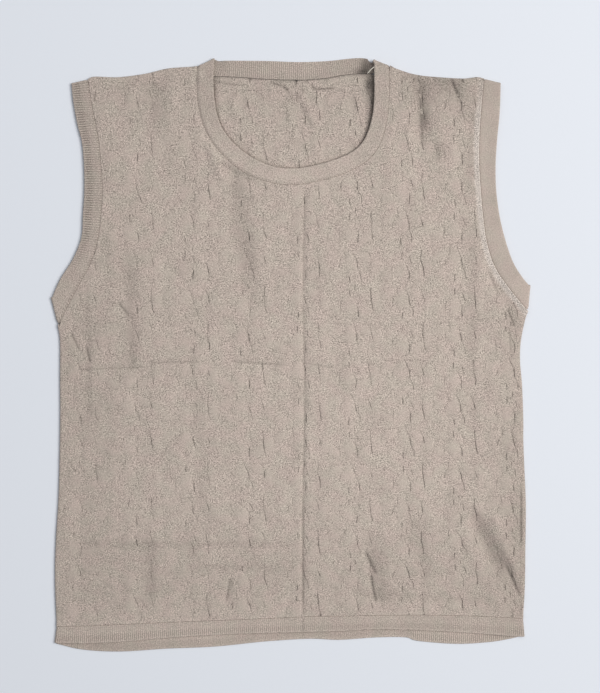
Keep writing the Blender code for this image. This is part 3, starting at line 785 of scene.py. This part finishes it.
def front_shading(xy, relief):
    """Painted shade of the front in its slots and creases, its broad painted shade, and a painted
    highlight along the right armhole's seam, where the rolled edge catches the light.
    """
    _, dark, shade = crease_relief(CREASES, xy)
    lit = softly((HIGHLIGHT_WIDTH - distance_from(seam_line(RIGHT_ARMHOLE), xy)) / 2)
    lit *= 0.4 + 0.6 * softly((262 - xy[:, 1]) / 24)
    return np.maximum(relief.sunk, dark) * (1 - lit), shade + patches(SHADE_PATCHES, xy), lit


def make_front(material):
    outline = Outline(edges_of(FRONT_NECK, hem_line("seam_x", "seam_y")))
    rings = front_rings(outline, CLOTH)
    loop = rings[0][:, :2]
    xy = face_points(loop, np.vstack([crease_points(CREASES), slot_points()]), TOP_STEP)
    relief = Relief(xy)
    fade = softly(depth_inside(loop[::4], xy) / SOFT_EDGE)
    height = BLISTER * relief.raised - SLOT_DIP * relief.sunk + billow(xy)
    height += 0.05 * ripple(xy, 3.5, 8)
    height += crease_relief(CREASES, xy)[0]
    top = np.column_stack([xy, lift(xy) + CLOTH + np.maximum(fade * height, -0.95)])
    under = plain_points(rings[-1][:, :2], UNDER_STEP)
    under = np.column_stack([under, lift(under)])
    obj = make_panel("front_panel_knit", outline, rings, top, under, material, front_shading)
    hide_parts("front_panel")
    return obj, area_of(loop)


def inner_shading(xy, relief):
    """The same for the back's inside, with painted shade along the lines under the neckband's two
    halves.
    """
    _, dark, shade = crease_relief(INNER_CREASES, xy)
    for line in (spaced(smooth(FRONT_NECK), 0.8)[:, :2], seam_line(BACK_NECK)):
        dark = np.maximum(dark, 0.7 * np.exp(-((distance_from(line, xy) / NECK_LINE) ** 2)))
    shade = shade + patches(SHADE_PATCHES + BACK_SHADE_PATCHES, xy)
    return np.maximum(INNER_SLOTS * relief.sunk, dark), shade, np.zeros(len(xy))


def make_back(material):
    outline = Outline(edges_of(BACK_NECK, hem_line("seam_x", "back_y", HEM_DEPTH)))
    rings = back_rings(outline, CLOTH)
    loop = rings[0][:, :2]
    neck_edge = spaced(smooth(FRONT_NECK), SLOT_STEP)[:, :2]
    lines = np.vstack([beside(neck_edge, NECK_LINE), crease_points(INNER_CREASES), slot_points()])
    xy = face_points(loop, lines, TOP_STEP)
    # Fine points only where the neck opening shows them
    seen = (xy[:, 1] > 160) & (np.abs(xy[:, 0]) < 105)
    xy = np.vstack([xy[seen], away_from(plain_points(loop, UNDER_STEP), xy[seen], 6)])
    relief = Relief(xy)
    fade = softly(depth_inside(loop[::4], xy) / SOFT_EDGE)
    height = relief.sunk * 0.35 - 0.62 * relief.raised + crease_relief(INNER_CREASES, xy)[0]
    # Nothing rises where the neckband or the front lies on it
    free = softly((xy[:, 1] - 192) / 14) * softly((72 - np.abs(xy[:, 0])) / 10)
    height = np.where(height > 0, height * free, height)
    height -= 0.7 * np.exp(-((distance_from(neck_edge, xy) / NECK_LINE) ** 2))
    top = np.column_stack([xy, CLOTH + np.maximum(fade * height, -1)])
    under = plain_points(rings[-1][:, :2], REST_STEP)
    under = np.column_stack([under, np.zeros(len(under))])
    obj = make_panel("back_panel_knit", outline, rings, top, under, material, inner_shading)
    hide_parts("back_panel")
    return obj, area_of(loop)


FREE_POINT, SEAM_POINT, FACING = slice(0, 3), slice(3, 6), slice(6, 9)
# Round a band's strip: share of its width from the free edge, share of half its thickness, and
# how much of the ribs' depth, the free edge's bead, the seam's tuck and the painted shade of the
# stitch holes and edges shows
Round = namedtuple("Round", "width height ribs bead tuck holes")
BAND_PROFILE = [Round(*row) for row in (
    (0, 0.25, 0, 0, 0, 1), (0.012, 0.65, 0.3, 0.4, 0, 0.8), (0.04, 0.93, 0.4, 0.9, 0, 0.3),
    (0.09, 1, 0.6, 1, 0, 0), (0.16, 1, 1, 0.4, 0, 0), (0.24, 1, 1, 0, 0, 0),
    (0.42, 1, 0.9, 0, 0, 0), (0.55, 1, 0.5, 0, 0, 0), (0.74, 1, 0.45, 0.2, 0, 0),
    (0.84, 1, 0.45, 0.9, 0, 0.1), (0.89, 1, 0.6, 0.7, 0.3, 0.7), (0.94, 1, 0.5, 0.3, 0.8, 1),
    (0.98, 0.95, 0.3, 0, 0.9, 0.6), (1, 0.75, 0, 0, 1, 0.3), (1, -0.7, 0, 0, 0, 1),
    (0.96, -1, 0, 0, 0, 1), (0.90, -1, 1, 0, 0, 0), (0.5, -1, 1, 0, 0, 0), (0.1, -1, 1, 0, 0, 0),
    (0.03, -0.85, 0.5, 0, 0, 0.5), (0, -0.4, 0, 0, 0, 1),
)]


def band_half(rows, front):
    """One half of a band, through the middle of its wall: free edge, seam and facing."""
    curve = spaced(smooth(rows), BAND_STEP, SEAM)
    free, seam = curve[:, :2], curve[:, SEAM]
    seam = seam + SEAM_GAP * unit(free - seam)
    flat = np.full(len(free), RIB / 2)
    heights = (lift(free) + flat, lift(seam) + flat) if front else (flat, flat)
    facing = np.tile((0, 0, 1 if front else -1), (len(free), 1))
    return np.column_stack([free, heights[0], seam, heights[1], facing])


def with_fold(front, back):
    """Both halves, drawn in at their start to make room for a fold, and the sections round it."""
    along = front[0, SEAM_POINT] - front[0, FREE_POINT]
    outward = unit(np.array([along[1], -along[0], 0]))
    if outward @ front[0, SEAM_POINT] < 0:
        outward = -outward
    halves = []
    for half in (front, back):
        first, keep = half[0].copy(), np.ones(len(half), bool)
        for columns in (FREE_POINT, SEAM_POINT):
            reach = (front[0, columns][2] - back[0, columns][2] + RIB) / 2
            way = unit((half[4, columns] - half[0, columns]) * (1, 1, 0))
            slide = reach / max(way @ -outward, 0.6)
            first[columns] += way * slide
            keep &= lengths_along(half[:, columns]) > slide + FOLD_CLEAR
        halves.append(np.vstack([first, half[keep]]))
    high, low = halves[0][0], halves[1][0]
    fold = []
    for turn in np.linspace(0, math.pi, FOLD_STEPS + 1)[1:-1]:
        facing = np.array([0, 0, math.cos(turn)]) + outward * math.sin(turn)
        section = (high + low) / 2
        for columns in (FREE_POINT, SEAM_POINT):
            section[columns] += facing * (high[columns][2] - low[columns][2]) / 2
        section[FACING] = facing
        fold.append(section)
    return (*halves, np.array(fold))


def make_strip(name, rounds, along, wide, valley, depth, closed, shade, knit, material):
    """A rib piece from the points round its sections, one list for each row of the profile."""
    around, count = len(rounds), len(along)
    points = np.stack(rounds, axis=1).reshape(-1, 3)
    points[:, 2] = np.maximum(points[:, 2], 0)
    faces = tube_faces(count, around, closed)
    if not closed:
        faces = [face[::-1] for face in faces + end_faces(count, around)]
    coords, sunk = [], []
    # Painted shade in the ribs' grooves, in the stitch holes and along the edges
    for spot in BAND_PROFILE:
        coords.append(np.column_stack([along, spot.width * wide, np.zeros(count)]))
        sunk.append(valley * np.maximum(spot.ribs * depth / FULL_DARK, spot.holes * knit.holes))
    obj = make_object(name + "_knit", points, faces, material)
    give(obj.data, knit=np.stack(coords, axis=1).reshape(-1, 3),
         sunk=np.stack(sunk, axis=1).ravel(), shade=shade(points[:, :2]),
         raised=np.full(len(points), knit.smooth))
    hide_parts(name)
    return obj


def make_band(name, front_rows, back_rows, knit, material):
    """A rib ring pressed flat: its front half, a fold, its back half and the other fold."""
    front, back = band_half(front_rows, True), band_half(back_rows, False)
    front, back, first_fold = with_fold(front, back)
    front, back, last_fold = with_fold(front[::-1], back[::-1])
    ring = np.vstack([front[::-1], last_fold, back, first_fold[::-1]])
    across = ring[1, SEAM_POINT] - ring[1, FREE_POINT]
    ahead = ring[2, FREE_POINT] - ring[1, FREE_POINT]
    if across[0] * ahead[1] - across[1] * ahead[0] < 0:
        ring = ring[::-1]
    ring = np.vstack([ring, ring[:1]])
    along = lengths_along((ring[:, FREE_POINT] + ring[:, SEAM_POINT]) / 2)
    ribs = round(along[-1] / knit.pitch)
    wanted = np.linspace(0, along[-1], ribs * RIB_STEPS + 1)[:-1]
    ring = at_lengths(wanted, along, ring)
    ring[:, FACING] = unit(ring[:, FACING])
    free, facing = ring[:, FREE_POINT], ring[:, FACING]
    width = ring[:, SEAM_POINT] - free
    valley = 0.5 - 0.5 * np.cos(wanted * (2 * math.pi * ribs / along[-1]))
    depth = np.where(facing[:, 2] > 0, knit.front, knit.back)
    depth = depth * (0.35 + 0.65 * softly((ring[:, 1] - 70) / 60))  # stretched at the underarm
    rounds = []
    for spot in BAND_PROFILE:
        out = spot.height * RIB / 2 + spot.bead * knit.bead - spot.tuck * knit.tuck
        out = out - math.copysign(1, spot.height) * spot.ribs * depth * valley
        rounds.append(free + spot.width * width + out[:, None] * facing)
    upper = np.repeat(facing[:, 2] > 0.5, len(rounds))

    # Painted shade and light on the band, and the join on its upper side
    def shade(xy):
        side = np.where(upper, patches(FRONT_JOIN_AND_SHADE, xy), patches(BACK_SHADE_PATCHES, xy))
        return patches(SHADE_PATCHES, xy) + side

    wide = np.linalg.norm(width, axis=1)
    obj = make_strip(name, rounds, wanted, wide, valley, depth, True, shade, knit, material)
    return obj, along[-1], wide.mean()


def make_hem(name, front, knit, material):
    """A rib strip between its free edge and its seam, a gap below the panel."""
    curve = smooth(HEM)
    if front:
        free, seam = curve[:, [2, 3]], curve[:, [0, 1]]
    else:
        free, seam = curve[:, [2, 4]], curve[:, [0, 4]] + (0, HEM_DEPTH)
    seam = seam - (0, SEAM_GAP)
    along = lengths_along((free + seam) / 2)
    inset = 0 if front else BACK_INSET
    ribs = round((along[-1] - 2 * inset) / knit.pitch)
    wanted = np.linspace(inset, along[-1] - inset, ribs * RIB_STEPS + 1)
    free, width = [at_lengths(wanted, along, line) for line in (free, seam - free)]
    valley = 0.5 - 0.5 * np.cos((wanted - inset) / (wanted[-1] - inset) * 2 * math.pi * ribs)
    from_end = np.minimum(wanted - wanted[0], wanted[-1] - wanted)
    rounds = []
    for spot in BAND_PROFILE:
        xy = free + spot.width * width
        under = lift(xy) if front else np.zeros(len(xy))
        turn = np.clip(from_end / (0.62 * (under + RIB) if front else 0.8), 0, 1)
        top = (under + RIB) * (0.5 + 0.5 * np.sqrt(1 - (1 - turn) ** 2))
        under = under * softly((from_end - FOLD_WALL) / 0.8)
        ribbed = spot.ribs * knit.front * valley if spot.height > 0 else 0
        height = under + (top - under) * (1 + spot.height) / 2 + spot.bead * knit.bead - ribbed
        rounds.append(np.column_stack([xy, height]))
    wide = np.linalg.norm(width, axis=1)
    # Painted shade and light on the hem
    obj = make_strip(name, rounds, wanted, wide, valley, knit.front, False,
                     lambda xy: patches(SHADE_PATCHES, xy), knit, material)
    return obj, wanted[-1] - wanted[0], wide.mean()


TAIL = [(84.6, 287.2, 7.5), (82.6, 286.1, 7.7), (80.4, 284.4, 7), (78.4, 282.5, 5.8),
        (76.4, 280.3, 4.6)]
TAIL_RADIUS, TAIL_SIDES = 0.45, 8


def make_tail(material):
    """The loose end of yarn at the neckband's join."""
    line = spaced(smooth(TAIL), 0.4, slice(0, 3))
    ahead = unit(np.gradient(line, axis=0))
    side = unit(np.cross(ahead, (0, 0, 1)))
    other = np.cross(side, ahead)
    turns = np.arange(TAIL_SIDES) * 2 * math.pi / TAIL_SIDES
    thick = TAIL_RADIUS * np.sqrt(np.clip(1 - np.linspace(-1, 1, len(line)) ** 8, 0.15, 1))
    points = [
        line[k] + thick[k] * (math.cos(t) * side[k] + math.sin(t) * other[k])
        for k in range(len(line)) for t in turns
    ]
    faces = tube_faces(len(line), TAIL_SIDES) + end_faces(len(line), TAIL_SIDES)
    return make_object("yarn_tail", points, faces, material)


class Wiring:
    """Builds the nodes of one material."""

    def __init__(self, name):
        self.material = bpy.data.materials.new(name)
        self.material.use_nodes = True
        self.tree = self.material.node_tree
        self.shader = self.tree.nodes["Principled BSDF"]

    def node(self, kind, *values, **settings):
        node = self.tree.nodes.new("ShaderNode" + kind)
        for name, value in settings.items():
            setattr(node, name, value)
        for socket, value in zip(node.inputs, values):
            self.put(socket, value)
        return node

    def put(self, socket, value):
        if isinstance(value, bpy.types.NodeSocket):
            self.tree.links.new(value, socket)
        else:
            socket.default_value = value

    def fill(self, node, inputs):
        for name, value in inputs.items():
            self.put(node.inputs[name], value)
        return node.outputs[0]

    def math(self, operation, *values):
        return self.node("Math", *values, operation=operation).outputs[0]

    def number(self, name):
        return self.node("Attribute", attribute_name=name).outputs["Fac"]

    def noise(self, place, scale, detail):
        inputs = {"Vector": place, "Scale": scale, "Detail": detail}
        return self.fill(self.node("TexNoise"), inputs)

    def around_one(self, value, amount):
        """1 plus or minus half the amount, from a value between 0 and 1."""
        return self.math("MULTIPLY_ADD", value, amount, 1 - amount / 2)

    def mixed(self, share, first, second):
        node = self.node("Mix", data_type="RGBA")
        self.fill(node, {0: share, 6: first, 7: second})
        return node.outputs[2]

    def finish(self, colour, tone, settings):
        """Sets the shader: the colour times a tone, and its own numbers."""
        if tone is not None:
            node = self.node("VectorMath", colour, operation="SCALE")
            colour = self.fill(node, {"Scale": tone})
        self.fill(self.shader, {"Base Color": colour, **settings})
        return self.material


def stitches(wiring, across, down, look):
    """(height, random shade between 0 and 1) of knit stitches, each a V of two legs."""
    do = wiring.math
    wale = do("DIVIDE", across, look.wide)
    off = do("ABSOLUTE", do("SUBTRACT", do("FRACT", wale), 0.5))
    course = do("MULTIPLY_ADD", off, 1.1, do("DIVIDE", down, look.high))
    bulge = do("ABSOLUTE", do("SINE", do("MULTIPLY", off, 2 * math.pi)))
    arch = do("SINE", do("MULTIPLY", do("FRACT", course), math.pi))
    height = do("MULTIPLY", bulge, do("MULTIPLY_ADD", arch, 0.65, 0.35))
    cell = wiring.node("CombineXYZ", do("FLOOR", do("MULTIPLY", wale, 2)), do("FLOOR", course))
    return height, wiring.node("TexWhiteNoise", cell.outputs[0], noise_dimensions="2D").outputs[0]


def knit_material(name, look):
    """Beige knit: stitches, uneven yarn, painted shade and highlight, and soft fuzz."""
    wiring = Wiring(name)
    do = wiring.math
    place = wiring.node("Attribute", attribute_name="knit").outputs["Vector"]
    across, down, _ = wiring.node("SeparateXYZ", place).outputs
    height, chance = stitches(wiring, across, down, look)
    smoothness = do("MINIMUM", wiring.number("raised"), 1)
    rough = do("MULTIPLY_ADD", smoothness, -0.62, 1)
    drawn = wiring.node("VectorMath", place, (1, 0.4, 1), operation="MULTIPLY").outputs[0]
    mottle = wiring.noise(drawn, 0.055, 3)
    grain = do("SUBTRACT", wiring.noise(place, GRAIN, 1), 0.5)
    chance = do("MULTIPLY", do("SUBTRACT", chance, 0.5), look.legs)
    grain = do("MULTIPLY_ADD", do("MULTIPLY_ADD", grain, look.speckle, chance), rough, 1)
    # Painted highlight along the right armhole: lighter, paler yarn
    lit = wiring.number("lit")
    broken = do("MULTIPLY_ADD", chance, 2.2, 1)
    sunk = do("MULTIPLY", wiring.number("sunk"), broken)
    # Painted shade in slots, thin creases, rib grooves and under the neckband's edges
    slot = wiring.node("MapRange", sunk, 0.1, 1, 1, 1 - look.slot_dark).outputs[0]
    tone = grain
    # The tone: random grain and mottle, times painted shade between the stitches' legs, lighter
    # smooth raised knit, the painted highlight, painted shade in slots and grooves, and broad
    # painted shade
    for share in (
        wiring.around_one(mottle, 0.2),
        do("MULTIPLY_ADD", height, 0.16, 0.92),
        do("MULTIPLY_ADD", smoothness, 0.05, 1),
        do("MULTIPLY_ADD", lit, 0.22, 1),
        slot,
        do("SUBTRACT", 1, wiring.number("shade")),
    ):
        tone = do("MULTIPLY", tone, share)
    cool = wiring.node("MapRange", wiring.noise(place, 0.07, 0.5), 0.3, 0.7, 0, 1)
    hue = wiring.mixed(cool.outputs[0], YARN_WARM, YARN_COOL)
    bump = {"Strength": look.bump, "Distance": BUMP * MM, "Height": height}
    return wiring.finish(wiring.mixed(lit, hue, HIGHLIGHT_YARN), tone, {
        "Normal": wiring.fill(wiring.node("Bump"), bump), "Roughness": 0.92,
        "Specular IOR Level": 0.2, "Sheen Weight": 0.06, "Sheen Roughness": 0.6,
    })


def yarn_material():
    wiring = Wiring("cream_yarn")
    twist = wiring.noise(wiring.node("TexCoord").outputs["Object"], 900, 2)
    return wiring.finish(TAIL_YARN, wiring.around_one(twist, 0.3), {"Roughness": 0.85})


def make_floor():
    settings = {"Roughness": 0.9, "Specular IOR Level": 0.1}
    material = Wiring("pale_floor").finish(FLOOR, None, settings)
    square = np.array([(-1, -1, 0), (1, -1, 0), (1, 1, 0), (-1, 1, 0)]) * FLOOR_HALF
    floor = mesh_object("floor", square, [(0, 1, 2, 3)], material)
    floor.location.z = -FLOOR_DROP * MM


# A soft lamp: its place and width in millimetres, its power in watts and its colour
Lamp = namedtuple("Lamp", "name x y z width power colour")
LAMPS = [
    Lamp("key", 1760, 340, 2660, 2100, 76, (1, 0.985, 0.96)),
    Lamp("fill", -1000, 900, 1500, 1600, 3.8, (0.95, 0.97, 1)),
]
WORLD_COLOUR, WORLD_STRENGTH = (0.93, 0.96, 1), 0.3


def light_scene():
    for lamp in LAMPS:
        light = bpy.data.lights.new(lamp.name, "AREA")
        light.shape = "DISK"
        light.size = lamp.width * MM
        light.energy = lamp.power
        light.color = lamp.colour
        obj = placed(lamp.name, light)
        obj.location = Vector((lamp.x, lamp.y, lamp.z)) * MM
        obj.rotation_euler = (-obj.location).to_track_quat("-Z", "Y").to_euler()
    world = bpy.data.worlds.new("room")
    world.use_nodes = True
    background = world.node_tree.nodes["Background"]
    background.inputs["Color"].default_value = (*WORLD_COLOUR, 1)
    background.inputs["Strength"].default_value = WORLD_STRENGTH
    bpy.context.scene.world = world
    bpy.context.scene.view_settings.view_transform = "Standard"


def place_camera():
    data = bpy.data.cameras.new("camera")
    data.sensor_width = SENSOR
    data.lens = SENSOR * CAMERA_HEIGHT / PHOTO_HEIGHT
    data.clip_start, data.clip_end = 0.01, 30
    camera = placed("camera", data)
    camera.location = Vector((*PHOTO_MIDDLE, CAMERA_HEIGHT)) * MM
    bpy.context.scene.camera = camera


def main():
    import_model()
    place_camera()
    light_scene()
    make_floor()
    panel = knit_material("panel_knit", PANEL_LOOK)
    rib = knit_material("band_knit", RIB_LOOK)

    front, front_area = make_front(panel)
    back, back_area = make_back(panel)
    neck, neck_long, neck_wide = make_band("neckband", FRONT_NECK, BACK_NECK, NECK_RIB, rib)
    arms = [
        make_band("armband_left", LEFT_ARMHOLE, LEFT_ARMHOLE, LEFT_RIB, rib),
        make_band("armband_right", RIGHT_ARMHOLE, RIGHT_ARMHOLE, RIGHT_RIB, rib),
    ]
    hems = [
        make_hem("hem_front", True, HEM_RIB, rib),
        make_hem("hem_back", False, HEM_RIB, rib),
    ]
    tail = make_tail(yarn_material())


main()
